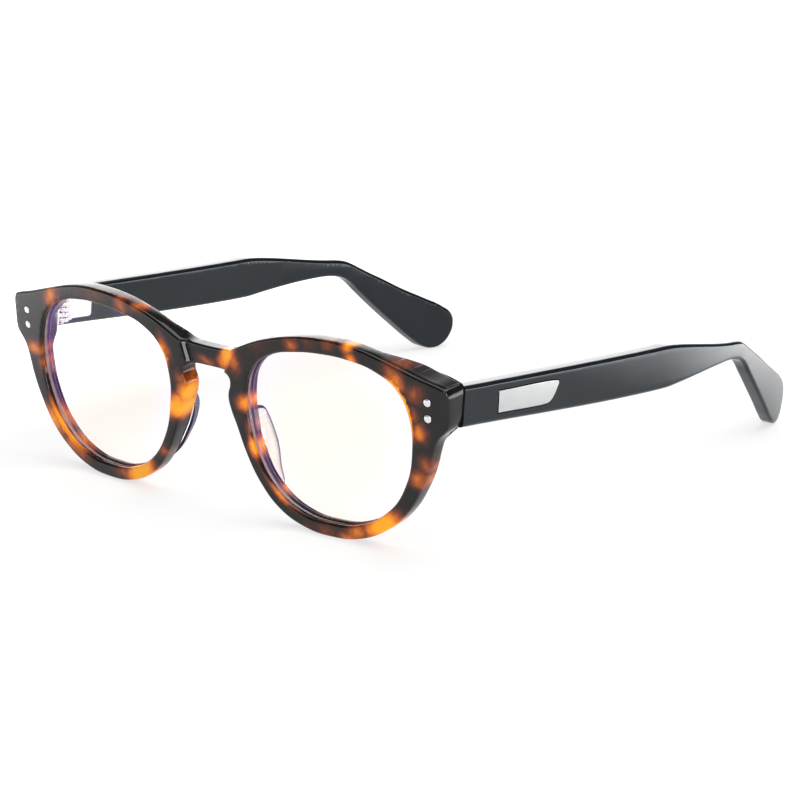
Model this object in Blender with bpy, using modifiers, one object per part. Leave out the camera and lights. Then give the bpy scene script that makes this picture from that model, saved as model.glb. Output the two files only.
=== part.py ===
"""Blue light glasses: an acetate front with a keyhole bridge, two lenses, and two folding temples.

Frame of the part, in metres: +Z up, the floor at z = 0, the front faces -Y, +X is the wearer's left.
The glasses stand open on the bottoms of the rims and on the two temple tips.
"""

import math

import bmesh
import bpy
from mathutils import Matrix, Vector

MM = 0.001

# Driving dimensions, in millimetres and degrees.
FRONT_TILT = 3.9
TEMPLE_DROP = 4.7
WRAP = 0.00111
RIM_DEPTH = 4.2
BRIDGE_DEPTH = 5.2
BRIDGE_RECESS = 1.5
EDGE_ROUND = 0.45
GAP = 0.3
# From the foot of the front's face back to the middle of the whole length, which is y = 0.
MIDDLE = 71.95

GROOVE_MIDDLE = 2.0
GROOVE_DEPTH = 0.75
LENS_THICKNESS = 2.0
LENS_BULGE = 1.0

SEAM = 5.2
HINGE_X = 59.8
HINGE_SETBACK = 3.5
HINGE_MIDDLE = 35.0
KNUCKLE_RADIUS = 1.6
KNUCKLE_HEIGHT = 0.96
KNUCKLES = 5
PIN_RADIUS = 0.55
RIVET_X = 61.5
RIVET_HEIGHTS = (35.3, 31.7)
RIVET_HEAD_RADIUS = 0.95
RIVET_SHANK_RADIUS = 0.5

TEMPLE_THICKNESS = 4.0
TEMPLE_ROUND = 0.8
TEMPLE_SPREAD = 66.5
PAD_DEPTH = 4.3
PAD_FLARE = 0.27
PAD_HALF_WIDTH = 1.45
INLAY_THICKNESS = 0.5
CORE_LENGTH = 96.0

CORNER = True

# Outlines are the points that a smooth curve passes through. A third entry marks a sharp corner.
# Half of the front's outline, from the top of the bridge round the end piece to the keyhole.
FRONT_OUTLINE = [
    (0.0, 37.8), (4.4, 37.9), (5.7, 38.0), (6.9, 38.3), (8.6, 39.0), (11.2, 40.2), (14.4, 41.6),
    (18.5, 43.0), (23.2, 44.2), (28.8, 45.1), (34.3, 45.4), (39.7, 45.3), (45.0, 44.5),
    (50.0, 43.2), (55.0, 41.7), (60.0, 40.2), (64.9, 38.9), (65.9, 38.5), (66.4, 37.6),
    (66.5, 34.2), (66.4, 31.0), (66.1, 29.8), (65.2, 28.7), (64.0, 27.5), (63.0, 26.0),
    (62.2, 23.8), (61.0, 19.8), (58.8, 14.9), (54.8, 8.8), (49.1, 3.9), (42.2, 0.8),
    (34.7, -0.1), (27.1, 0.7), (20.1, 3.7), (14.8, 8.9), (11.1, 15.2), (8.7, 21.2),
    (7.2, 24.8), (6.6, 27.4), (6.8, 29.0), (7.3, 30.4), (7.2, 31.9), (6.3, 32.8), (4.4, 33.1),
    (0.0, 33.2),
]
LENS_OUTLINE = [
    (34.0, 41.9), (26.5, 41.2), (19.5, 39.5), (14.3, 35.8), (11.8, 29.5), (12.0, 22.5),
    (14.3, 14.6), (19.5, 7.7), (26.5, 4.0), (34.0, 3.1), (42.5, 4.2), (50.2, 8.7),
    (55.0, 15.6), (56.9, 23.5), (56.5, 31.0), (53.6, 36.8), (48.2, 40.1), (41.5, 41.6),
]
LENS_CENTRE = (34.3, 22.6)
# The temple seen from the side: distance behind the hinge end, and height.
TEMPLE_OUTLINE = [
    (4.2, 30.15, CORNER), (17.5, 30.05), (35.0, 29.8), (52.0, 29.65), (67.0, 29.75), (74.0, 29.9),
    (78.5, 30.1), (82.5, 30.6), (86.5, 31.1), (91.0, 31.65), (95.5, 32.15), (100.0, 32.55),
    (105.0, 32.85), (108.3, 32.7), (111.2, 32.0), (113.6, 30.7), (117.0, 27.8), (123.0, 22.8),
    (129.0, 18.0), (134.0, 14.1), (137.2, 12.1), (139.8, 11.6), (142.4, 12.5), (144.5, 15.0),
    (145.3, 18.0), (144.6, 20.8), (141.7, 23.0), (136.6, 25.3), (129.5, 28.3), (123.2, 31.3),
    (119.6, 32.9), (116.2, 34.5), (113.2, 35.9), (111.2, 36.6), (108.8, 36.95), (104.5, 37.25),
    (99.0, 37.8), (92.0, 38.65), (86.0, 39.35), (81.0, 39.8), (77.5, 39.95), (73.0, 39.85),
    (66.0, 39.7), (52.0, 39.5), (34.0, 39.35), (17.0, 39.25), (4.2, 39.2, CORNER),
]
INLAY_OUTLINE = [
    (16.8, 32.1, CORNER), (33.4, 32.1), (34.4, 32.4), (35.2, 33.0), (37.0, 35.8), (37.2, 36.5),
    (36.7, 36.9), (16.8, 36.9, CORNER),
]
# Ridge of a nose pad from its upper to its lower end, on the plane of the front.
PAD_RIDGE = [(10.3, 24.9), (10.0, 21.8), (11.1, 18.0), (12.7, 14.4), (14.5, 11.0), (17.4, 7.6)]

MATERIALS = {
    "acetate_tortoise": ((0.045, 0.026, 0.016, 1.0), 0.12, 0.0),
    "acetate_black": ((0.012, 0.012, 0.014, 1.0), 0.14, 0.0),
    "acetate_clear": ((0.90, 0.80, 0.66, 1.0), 0.15, 0.0),
    "lens_clear": ((0.97, 0.96, 0.90, 1.0), 0.03, 0.0),
    "metal_satin": ((0.82, 0.82, 0.84, 1.0), 0.28, 1.0),
    "metal_bright": ((0.88, 0.88, 0.90, 1.0), 0.16, 1.0),
}


def clear_scene():
    for obj in list(bpy.data.objects):
        bpy.data.objects.remove(obj, do_unlink=True)
    for data in (bpy.data.meshes, bpy.data.curves, bpy.data.materials, bpy.data.collections):
        for item in list(data):
            data.remove(item)


def make_material(name):
    colour, roughness, metallic = MATERIALS[name]
    material = bpy.data.materials.new(name)
    material.use_nodes = True
    shader = material.node_tree.nodes["Principled BSDF"]
    shader.inputs["Base Color"].default_value = colour
    shader.inputs["Roughness"].default_value = roughness
    shader.inputs["Metallic"].default_value = metallic
    material.diffuse_color = colour
    return material


def step(t):
    t = min(1.0, max(0.0, t))
    return t * t * (3.0 - 2.0 * t)


# ---- Places: from the flat drawing of a piece to the part's frame --------------------------------


def on_front(u, v, w):
    """A point of the front: u across, v up, w behind its face, bent to the wrap and tilted."""
    tilt = math.radians(FRONT_TILT)
    back = WRAP * u * u + w
    return Vector((
        u,
        back * math.cos(tilt) - v * math.sin(tilt) - MIDDLE,
        v * math.cos(tilt) + back * math.sin(tilt),
    )) * MM


def on_temple(x, s, h):
    """A point of a temple: x outwards, s back along it, h up and square to it."""
    drop = math.radians(TEMPLE_DROP)
    return Vector((
        x,
        s * math.cos(drop) + h * math.sin(drop) - MIDDLE,
        h * math.cos(drop) - s * math.sin(drop),
    )) * MM


def seam_depth(u, v):
    """How far behind the face of the front the plane lies that the temple's end meets."""
    both = math.radians(FRONT_TILT + TEMPLE_DROP)
    return (SEAM + v * math.sin(both)) / math.cos(both) - WRAP * u * u


def front_back(u, v):
    """Depth of the back of the front: thin at the rims, thicker at the bridge and end pieces."""
    a = abs(u)
    depth = RIM_DEPTH + (BRIDGE_DEPTH - RIM_DEPTH) * step((14.0 - a) / 6.0)
    start = 47.0 + 8.2 * step((38.5 - v) / 4.5)
    end = step((a - start) / (57.8 - start)) * step((v - 25.5) / 4.0)
    return depth + (seam_depth(u, min(v, 38.0)) - depth) * end


def bridge_step(u, v):
    """0 on the rims, and the full recess on the bridge."""
    edge = 5.8 + (v - 32.5) * 0.30
    return BRIDGE_RECESS * min(1.0, max(0.0, (edge - abs(u)) / 0.9))


def front_relief(u, v, w):
    """The recess of the bridge fades out behind the face, and the extra depth is all at the back."""
    recess = bridge_step(u, v) * max(0.0, 1.0 - w / 3.0)
    return w + recess + (front_back(u, v) - RIM_DEPTH) * min(1.0, max(0.0, (w - 2.8) / 0.8))


def temple_x(s):
    """The outer side of the temple: straight along the head, then curving in behind the ear."""
    bent = max(0.0, s - 76.0)
    return TEMPLE_SPREAD + 0.0145 * s - 0.00285 * bent * bent


# ---- Modelling helpers --------------------------------------------------------------------------


def face_outwards(work):
    bmesh.ops.recalc_face_normals(work, faces=work.faces)
    if work.calc_volume(signed=True) < 0.0:
        bmesh.ops.reverse_faces(work, faces=work.faces)


def add_object(name, mesh, collection):
    obj = bpy.data.objects.new(name, mesh)
    collection.objects.link(obj)
    return obj


def baked(obj, collection):
    """Turns an object with its modifiers into a plain mesh object, its caps welded."""
    bpy.context.view_layer.update()
    graph = bpy.context.evaluated_depsgraph_get()
    mesh = bpy.data.meshes.new_from_object(obj.evaluated_get(graph))
    name = obj.name
    matrix = obj.matrix_world.copy()
    bpy.data.objects.remove(obj, do_unlink=True)
    work = bmesh.new()
    work.from_mesh(mesh)
    work.transform(matrix)
    bmesh.ops.remove_doubles(work, verts=work.verts, dist=1e-6)
    face_outwards(work)
    work.to_mesh(mesh)
    work.free()
    return add_object(name, mesh, collection)


def flat_solid(name, loops, front, back, rounding, grow, collection, segments=3):
    """A flat outline with depth and chamfered edges: smooth loops in XY, z -front to -back."""
    curve = bpy.data.curves.new(name, "CURVE")
    curve.dimensions = "2D"
    curve.fill_mode = "BOTH"
    for points in loops:
        spline = curve.splines.new("BEZIER")
        spline.bezier_points.add(len(points) - 1)
        spline.use_cyclic_u = True
        spline.resolution_u = 2 if len(points) > 60 else segments
        for knot, (x, y, *corner) in zip(spline.bezier_points, points):
            knot.co = (x * MM, y * MM, 0.0)
            knot.handle_left_type = "VECTOR" if corner else "AUTO"
            knot.handle_right_type = "VECTOR" if corner else "AUTO"
    curve.extrude = ((back - front) / 2.0 - rounding) * MM
    curve.bevel_depth = rounding * MM
    curve.bevel_resolution = 0
    curve.offset = (grow - rounding) * MM
    obj = add_object(name, curve, collection)
    obj.location = (0.0, 0.0, -(front + back) / 2.0 * MM)
    return baked(obj, collection)


def combine(target, tool, operation, collection):
    """Boolean of two closed meshes. The tool is used up."""
    modifier = target.modifiers.new("boolean", "BOOLEAN")
    modifier.operation = operation
    modifier.solver = "EXACT"
    modifier.object = tool
    result = baked(target, collection)
    bpy.data.objects.remove(tool, do_unlink=True)
    return result


def slice_mesh(obj, cuts):
    """Adds an edge wherever a plane crosses the mesh. cuts: (point, normal), millimetres."""
    work = bmesh.new()
    work.from_mesh(obj.data)
    bmesh.ops.dissolve_limit(
        work, angle_limit=math.radians(0.05), verts=work.verts, edges=work.edges
    )
    for point, normal in cuts:
        bmesh.ops.bisect_plane(
            work,
            geom=work.verts[:] + work.edges[:] + work.faces[:],
            dist=2e-5,
            plane_co=Vector(point) * MM,
            plane_no=Vector(normal),
        )
    bmesh.ops.triangulate(work, faces=work.faces)
    work.to_mesh(obj.data)
    work.free()


def cut_positions(first, last, spacing):
    count = max(1, round((last - first) / spacing))
    return [first + (last - first) * i / count for i in range(count + 1)]


def reshape(obj, place):
    """Moves every vertex: place takes the drawing's x, y and depth in millimetres."""
    work = bmesh.new()
    work.from_mesh(obj.data)
    for vertex in work.verts:
        x, y, z = vertex.co / MM
        vertex.co = place(x, y, -z)
    face_outwards(work)
    work.to_mesh(obj.data)
    work.free()
    return obj


def box(name, size, centre, collection):
    mesh = bpy.data.meshes.new(name)
    work = bmesh.new()
    bmesh.ops.create_cube(work, size=1.0)
    bmesh.ops.scale(work, vec=Vector(size), verts=work.verts)
    bmesh.ops.translate(work, vec=Vector(centre), verts=work.verts)
    work.to_mesh(mesh)
    work.free()
    return add_object(name, mesh, collection)


def cylinder(name, radius, low, high, x, y, collection, segments=16):
    """A cylinder along the drawing's z."""
    mesh = bpy.data.meshes.new(name)
    work = bmesh.new()
    bmesh.ops.create_cone(
        work, cap_ends=True, segments=segments, radius1=radius, radius2=radius, depth=high - low
    )
    bmesh.ops.translate(work, vec=Vector((x, y, (low + high) / 2.0)), verts=work.verts)
    work.to_mesh(mesh)
    work.free()
    return add_object(name, mesh, collection)


def turned(name, profile, matrix, collection, segments=16):
    """A turned piece: the profile (radius, height) runs from the top down its outer side."""
    mesh = bpy.data.meshes.new(name)
    points = [(r * MM, 0.0, z * MM) for r, z in profile]
    mesh.from_pydata(points, [(i, i + 1) for i in range(len(points) - 1)], [])
    obj = add_object(name, mesh, collection)
    screw = obj.modifiers.new("screw", "SCREW")
    screw.axis = "Z"
    screw.angle = math.tau
    screw.steps = segments
    screw.render_steps = segments
    screw.use_merge_vertices = True
    screw.merge_threshold = 1e-6
    obj = baked(obj, collection)
    obj.data.transform(matrix)
    return obj


def finish(obj, material, pivot=None):
    """Material and shading, and for a moving piece its origin on the hinge."""
    obj.data.materials.clear()
    obj.data.materials.append(material)
    obj.data.shade_smooth()
    obj.data.set_sharp_from_angle(angle=math.radians(32.0))
    if pivot is not None:
        obj.data.transform(Matrix.Translation(-pivot.location))
        obj.parent = pivot
    return obj


# ---- The front ----------------------------------------------------------------------------------


def mirrored_loop(points):
    return [(-x, y) for x, y in reversed(points)]


def rivet_matrix(side, height):
    """At the face of the front, with +Z pointing out of it."""
    u = side * RIVET_X
    here = on_front(u, height, 0.0)
    across = on_front(u + 0.01, height, 0.0) - here
    up = on_front(u, height + 0.01, 0.0) - here
    out = up.cross(across).normalized()
    if out.y > 0.0:
        out = -out
    turn = out.to_track_quat("Z", "Y").to_matrix().to_4x4()
    return Matrix.Translation(here) @ turn


def build_front(collection):
    outline = FRONT_OUTLINE + mirrored_loop(FRONT_OUTLINE[1:-1])
    openings = [LENS_OUTLINE, mirrored_loop(LENS_OUTLINE)]
    front = flat_solid(
        "front_frame", [outline] + openings, 0.0, RIM_DEPTH, EDGE_ROUND, 0.0, collection
    )
    for opening in openings:
        groove = flat_solid(
            "groove", [opening], GROOVE_MIDDLE - 0.7, GROOVE_MIDDLE + 0.7, 0.6,
            GROOVE_DEPTH, collection,
        )
        front = combine(front, groove, "DIFFERENCE", collection)
    cuts = [((u, 0.0, 0.0), (1.0, 0.0, 0.0)) for u in cut_positions(-48.0, 48.0, 12.0)]
    cuts += [((u * k, 0.0, 0.0), (1.0, 0.0, 0.0)) for u in (50.4, 53.0, 55.4, 56.6, 57.8) for k in (1, -1)]
    cuts += [((0.0, v, 0.0), (0.0, 1.0, 0.0)) for v in (26.0, 29.5, 34.0, 37.5)]
    for side in (1.0, -1.0):
        for edge in (5.8, 4.9):
            cuts.append(((side * edge, 32.5, 0.0), (1.0, -0.30 * side, 0.0)))
    slice_mesh(front, cuts)
    front = reshape(front, lambda u, v, w: on_front(u, v, front_relief(u, v, w)))
    for side in (1.0, -1.0):
        for height in RIVET_HEIGHTS:
            hole = turned(
                "rivet_hole",
                [(0.0, 3.0), (RIVET_HEAD_RADIUS + 0.25, 3.0), (RIVET_HEAD_RADIUS + 0.25, -0.6),
                 (RIVET_SHANK_RADIUS + GAP, -0.6), (RIVET_SHANK_RADIUS + GAP, -9.0), (0.0, -9.0)],
                rivet_matrix(side, height), collection,
            )
            front = combine(front, hole, "DIFFERENCE", collection)
    return front


def lens_reach(x, y):
    """Share of the way from the lens's centre to its edge, with 1 at the edge."""
    angle = math.atan2(y - LENS_CENTRE[1], x - LENS_CENTRE[0])
    best = 0.0
    count = len(LENS_OUTLINE)
    ray = (math.cos(angle), math.sin(angle))
    for i in range(count):
        ax, ay = LENS_OUTLINE[i]
        bx, by = LENS_OUTLINE[(i + 1) % count]
        ax, ay = ax - LENS_CENTRE[0], ay - LENS_CENTRE[1]
        bx, by = bx - LENS_CENTRE[0], by - LENS_CENTRE[1]
        cross = ray[0] * (by - ay) - ray[1] * (bx - ax)
        if abs(cross) < 1e-9:
            continue
        along = (ax * by - ay * bx) / cross
        part = (ax * ray[1] - ay * ray[0]) / cross
        if along > 0.0 and -1e-6 <= part <= 1.0 + 1e-6:
            best = max(best, along)
    far = math.hypot(x - LENS_CENTRE[0], y - LENS_CENTRE[1])
    return far / best if best else 0.0


def build_lens(side, collection):
    """A thin lens, domed forwards, whose pointed edge sits in the rim's groove."""
    name = "lens_left" if side > 0 else "lens_right"
    half = LENS_THICKNESS / 2.0
    lens = flat_solid(
        name, [LENS_OUTLINE], GROOVE_MIDDLE - half, GROOVE_MIDDLE + half, 0.0, -GAP, collection
    )
    edge = flat_solid(
        "lens_edge", [LENS_OUTLINE], GROOVE_MIDDLE - 0.52, GROOVE_MIDDLE + 0.52, 0.5, 0.38,
        collection,
    )
    lens = combine(lens, edge, "UNION", collection)
    cuts = [((u, 0.0, 0.0), (1.0, 0.0, 0.0)) for u in cut_positions(19.0, 50.0, 7.75)]
    cuts += [((0.0, v, 0.0), (0.0, 1.0, 0.0)) for v in cut_positions(10.0, 35.5, 8.5)]
    slice_mesh(lens, cuts)

    def place(u, v, w):
        dome = LENS_BULGE * max(0.0, 1.0 - lens_reach(u, v) ** 2)
        return on_front(side * u, v, w - dome)

    return reshape(lens, place)


def build_pad(side, collection):
    """A nose pad of clear acetate, bonded behind the nasal side of the rim."""
    name = "nose_pad_left" if side > 0 else "nose_pad_right"
    mesh = bpy.data.meshes.new(name)
    work = bmesh.new()
    bmesh.ops.create_uvsphere(work, u_segments=16, v_segments=14, radius=1.0)
    count = len(PAD_RIDGE) - 1
    for vertex in work.verts:
        x, y, z = vertex.co
        along = (1.0 - z) / 2.0 * count
        i = min(int(along), count - 1)
        t = along - i
        before = Vector(PAD_RIDGE[max(i - 1, 0)])
        here = Vector(PAD_RIDGE[i])
        after = Vector(PAD_RIDGE[i + 1])
        last = Vector(PAD_RIDGE[min(i + 2, count)])
        spot = 0.5 * (
            2.0 * here + (after - before) * t
            + (2.0 * before - 5.0 * here + 4.0 * after - last) * t * t
            + (3.0 * here - before - 3.0 * after + last) * t ** 3
        )
        depth = RIM_DEPTH + PAD_DEPTH * (1.0 + (0.12 if z > 0.0 else 0.40) * z) * y
        u = spot.x + PAD_HALF_WIDTH * x + PAD_FLARE * max(0.0, depth - RIM_DEPTH)
        v = spot.y + 0.5 * x
        vertex.co = Vector((u, v, -depth)) * MM
    plane = work.verts[:] + work.edges[:] + work.faces[:]
    bmesh.ops.bisect_plane(
        work, geom=plane, dist=1e-5, plane_co=Vector((0.0, 0.0, -RIM_DEPTH - GAP)) * MM,
        plane_no=Vector((0.0, 0.0, 1.0)), clear_outer=True,
    )
    rim = [edge for edge in work.edges if edge.is_boundary]
    bmesh.ops.edgeloop_fill(work, edges=rim)
    bmesh.ops.triangulate(work, faces=work.faces)
    work.to_mesh(mesh)
    work.free()
    pad = add_object(name, mesh, collection)

    def place(u, v, w):
        return on_front(side * u, v, w + front_back(u, v) - RIM_DEPTH)

    return reshape(pad, place)


def build_rivet(side, index, collection):
    """A rivet with a low domed head on the face of the end piece."""
    name = ("rivet_left_" if side > 0 else "rivet_right_") + ("upper", "lower")[index]
    height = RIVET_HEIGHTS[index]
    u = side * RIVET_X
    length = seam_depth(u, height) + 1.55
    radius = RIVET_HEAD_RADIUS
    profile = [
        (0.0, 0.16), (radius * 0.55, 0.12), (radius * 0.88, 0.02), (radius, -0.10), (radius, -0.3),
        (RIVET_SHANK_RADIUS, -0.3), (RIVET_SHANK_RADIUS, -length), (0.0, -length),
    ]
    return turned(name, profile, rivet_matrix(side, height), collection)


# ---- The hinges ---------------------------------------------------------------------------------


def hinge_matrix(side):
    """From hinge axes (x outwards, y back, z along the pin, at the pin's middle) to the part."""
    drop = math.radians(TEMPLE_DROP)
    place = on_temple(side * HINGE_X, SEAM + HINGE_SETBACK, HINGE_MIDDLE)
    back = Vector((0.0, math.cos(drop), -math.sin(drop)))
    up = Vector((0.0, math.sin(drop), math.cos(drop)))
    turn = Matrix((
        (side * MM, 0.0, 0.0, place.x),
        (0.0, back.y * MM, up.y * MM, place.y),
        (0.0, back.z * MM, up.z * MM, place.z),
        (0.0, 0.0, 0.0, 1.0),
    ))
    return turn


def knuckle_span(index):
    pitch = KNUCKLE_HEIGHT + GAP
    middle = (index - (KNUCKLES - 1) / 2.0) * pitch
    return middle - KNUCKLE_HEIGHT / 2.0, middle + KNUCKLE_HEIGHT / 2.0


def hinge_half(name, plate, webs, indices, holes, side, collection):
    """A leaf: a plate, and barrels on webs, drilled for the pin and the rivets."""
    leaf = plate
    for index in indices:
        low, high = knuckle_span(index)
        web = box(
            "web", (webs[0], webs[1], high - low), (webs[2], webs[3], (low + high) / 2.0), collection
        )
        leaf = combine(leaf, web, "UNION", collection)
        barrel = cylinder("barrel", KNUCKLE_RADIUS, low, high, 0.0, 0.0, collection)
        leaf = combine(leaf, barrel, "UNION", collection)
    pin_hole = cylinder("pin_hole", PIN_RADIUS + GAP, -6.0, 6.0, 0.0, 0.0, collection)
    leaf = combine(leaf, pin_hole, "DIFFERENCE", collection)
    work = bmesh.new()
    work.from_mesh(leaf.data)
    work.transform(hinge_matrix(side))
    face_outwards(work)
    work.to_mesh(leaf.data)
    work.free()
    for hole in holes:
        leaf = combine(leaf, hole, "DIFFERENCE", collection)
    leaf.name = name
    return leaf


def build_front_leaf(side, collection):
    """The half that the rivets hold against the back of the end piece."""
    name = "hinge_front_leaf_left" if side > 0 else "hinge_front_leaf_right"
    top = knuckle_span(KNUCKLES - 1)[1] + 0.3
    near = -HINGE_SETBACK + GAP
    plate = box("leaf", (4.0, 0.8, top * 2.0), (0.4, near + 0.4, 0.0), collection)
    holes = []
    for height in RIVET_HEIGHTS:
        radius = RIVET_SHANK_RADIUS + GAP
        profile = [(0.0, 3.0), (radius, 3.0), (radius, -12.0), (0.0, -12.0)]
        holes.append(turned("hole", profile, rivet_matrix(side, height), collection))
    webs = (2.2, -near - 0.6, 0.0, (near + 0.6) / 2.0)
    return hinge_half(name, plate, webs, (1, 3), holes, side, collection)


def build_temple_leaf(side, collection):
    """The half on the inner side of the temple, which turns about the pin."""
    name = "hinge_temple_leaf_left" if side > 0 else "hinge_temple_leaf_right"
    top = knuckle_span(KNUCKLES - 1)[1]
    outer = TEMPLE_SPREAD - TEMPLE_THICKNESS - HINGE_X - GAP
    plate = box("leaf", (1.2, 8.6, top * 2.0), (outer - 0.6, 6.5, 0.0), collection)
    work = bmesh.new()
    work.from_mesh(plate.data)
    upright = [edge for edge in work.edges if abs(edge.verts[0].co.x - edge.verts[1].co.x) > 0.5]
    bmesh.ops.bevel(
        work, geom=[edge for edge in upright if edge.verts[0].co.y > 8.0], offset=0.8, segments=3,
        affect="EDGES", profile=0.5,
    )
    work.to_mesh(plate.data)
    work.free()
    webs = (outer - 0.1, 3.2, (outer - 0.1) / 2.0, 1.6)
    return hinge_half(name, plate, webs, (0, 2, 4), [], side, collection)


def build_screw(side, collection):
    """The hinge screw, put in from above, with a slotted head."""
    name = "hinge_screw_left" if side > 0 else "hinge_screw_right"
    top = knuckle_span(KNUCKLES - 1)[1] + GAP
    profile = [
        (0.0, top + 0.75), (0.75, top + 0.7), (1.15, top + 0.45), (1.2, top), (PIN_RADIUS, top),
        (PIN_RADIUS, -top - 0.1), (PIN_RADIUS - 0.2, -top - 0.3), (0.0, -top - 0.3),
    ]
    mesh = bpy.data.meshes.new(name)
    points = [(r, 0.0, z) for r, z in profile]
    mesh.from_pydata(points, [(i, i + 1) for i in range(len(points) - 1)], [])
    screw = add_object(name, mesh, collection)
    turn = screw.modifiers.new("screw", "SCREW")
    turn.axis = "Z"
    turn.angle = math.tau
    turn.steps = 16
    turn.render_steps = 16
    turn.use_merge_vertices = True
    turn.merge_threshold = 1e-5
    screw = baked(screw, collection)
    slot = box("slot", (3.0, 0.4, 0.8), (0.0, 0.0, top + 0.8), collection)
    screw = combine(screw, slot, "DIFFERENCE", collection)
    work = bmesh.new()
    work.from_mesh(screw.data)
    work.transform(hinge_matrix(side))
    face_outwards(work)
    work.to_mesh(screw.data)
    work.free()
    return screw


# ---- The temples --------------------------------------------------------------------------------


def temple_place(side):
    return lambda s, h, w: on_temple(side * (temple_x(s) - w), s, h)


def build_temple(side, collection):
    """A black acetate temple, with a pocket for the inlay and a slot for the core wire."""
    name = "temple_left" if side > 0 else "temple_right"
    temple = flat_solid(
        name, [TEMPLE_OUTLINE], 0.0, TEMPLE_THICKNESS, TEMPLE_ROUND, 0.0, collection, segments=2
    )
    trim = box(
        "trim", (8.0 * MM, 20.0 * MM, 10.0 * MM),
        ((SEAM + GAP - 4.0) * MM, HINGE_MIDDLE * MM, -2.0 * MM), collection,
    )
    temple = combine(temple, trim, "DIFFERENCE", collection)
    pocket = flat_solid(
        "pocket", [INLAY_OUTLINE], -1.0, 0.7, 0.0, GAP, collection, segments=3
    )
    temple = combine(temple, pocket, "DIFFERENCE", collection)
    slot = box(
        "slot", ((CORE_LENGTH + 6.0) * MM, 3.0 * MM, 1.6 * MM),
        ((SEAM + (CORE_LENGTH - 4.0) / 2.0) * MM, HINGE_MIDDLE * MM, -2.35 * MM), collection,
    )
    temple = combine(temple, slot, "DIFFERENCE", collection)
    cuts = [((s, 0.0, 0.0), (1.0, 0.0, 0.0)) for s in cut_positions(50.0, 76.0, 26.0)]
    cuts += [((s, 0.0, 0.0), (1.0, 0.0, 0.0)) for s in cut_positions(84.0, 140.0, 8.0)]
    slice_mesh(temple, cuts)
    return reshape(temple, temple_place(side))


def build_inlay(side, collection):
    """A thin bright plate let into the outer side of the temple, left blank."""
    name = "inlay_plate_left" if side > 0 else "inlay_plate_right"
    plate = flat_solid(
        name, [INLAY_OUTLINE], -0.1, -0.1 + INLAY_THICKNESS, 0.0, 0.0, collection, segments=3
    )
    return reshape(plate, temple_place(side))


def build_core(side, collection):
    """The metal wire inside the temple, which the hinge end holds."""
    name = "core_wire_left" if side > 0 else "core_wire_right"
    wire = box(
        name, ((CORE_LENGTH - 2.0) * MM, 2.4 * MM, 1.0 * MM),
        ((SEAM + GAP + 0.4 + (CORE_LENGTH - 2.0) / 2.0) * MM, HINGE_MIDDLE * MM, -2.35 * MM),
        collection,
    )
    cuts = [((s, 0.0, 0.0), (1.0, 0.0, 0.0)) for s in cut_positions(50.0, 76.0, 26.0)]
    cuts += [((s, 0.0, 0.0), (1.0, 0.0, 0.0)) for s in cut_positions(84.0, 92.0, 8.0)]
    slice_mesh(wire, cuts)
    return reshape(wire, temple_place(side))


def main():
    clear_scene()
    collection = bpy.data.collections.new("blue_light_glasses")
    bpy.context.scene.collection.children.link(collection)
    looks = {name: make_material(name) for name in MATERIALS}
    finish(build_front(collection), looks["acetate_tortoise"])
    for side in (1.0, -1.0):
        finish(build_lens(side, collection), looks["lens_clear"])
        finish(build_pad(side, collection), looks["acetate_clear"])
        for index in range(len(RIVET_HEIGHTS)):
            finish(build_rivet(side, index, collection), looks["metal_bright"])
        finish(build_front_leaf(side, collection), looks["metal_satin"])
        finish(build_screw(side, collection), looks["metal_satin"])
        pivot = bpy.data.objects.new("pivot_left" if side > 0 else "pivot_right", None)
        pivot.empty_display_size = 0.01
        collection.objects.link(pivot)
        pivot.location = on_temple(side * HINGE_X, SEAM + HINGE_SETBACK, HINGE_MIDDLE)
        finish(build_temple_leaf(side, collection), looks["metal_satin"], pivot)
        finish(build_temple(side, collection), looks["acetate_black"], pivot)
        finish(build_inlay(side, collection), looks["metal_bright"], pivot)
        finish(build_core(side, collection), looks["metal_satin"], pivot)
    bpy.context.view_layer.update()


main()
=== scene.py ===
"""Looks of the blue light glasses: smooth meshes, materials, floor, light and camera.

Every piece is drawn flat in millimetres, like its CAD node, and then set in its place on the front or on a
temple. u, v, w are across, up and behind the face of the front. s, h, w are along a temple, up it, and in
from its outer side.
"""

import math

import bmesh
import bpy
from mathutils import Matrix, Vector
from mathutils.kdtree import KDTree


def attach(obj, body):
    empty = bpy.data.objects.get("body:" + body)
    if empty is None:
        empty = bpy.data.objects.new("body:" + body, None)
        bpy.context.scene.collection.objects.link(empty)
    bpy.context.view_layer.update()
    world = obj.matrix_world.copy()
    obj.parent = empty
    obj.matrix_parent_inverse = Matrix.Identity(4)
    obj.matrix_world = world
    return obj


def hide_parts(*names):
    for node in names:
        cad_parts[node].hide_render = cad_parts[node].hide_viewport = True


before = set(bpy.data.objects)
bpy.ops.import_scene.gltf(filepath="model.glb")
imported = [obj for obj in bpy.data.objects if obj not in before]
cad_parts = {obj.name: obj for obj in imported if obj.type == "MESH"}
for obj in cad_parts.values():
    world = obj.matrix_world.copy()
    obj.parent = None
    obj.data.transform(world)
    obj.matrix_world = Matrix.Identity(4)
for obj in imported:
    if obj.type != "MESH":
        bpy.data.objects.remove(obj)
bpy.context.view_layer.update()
scene = bpy.context.scene

MM = 0.001
CORNER = True
TURNED_SEGMENTS = 48

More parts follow.
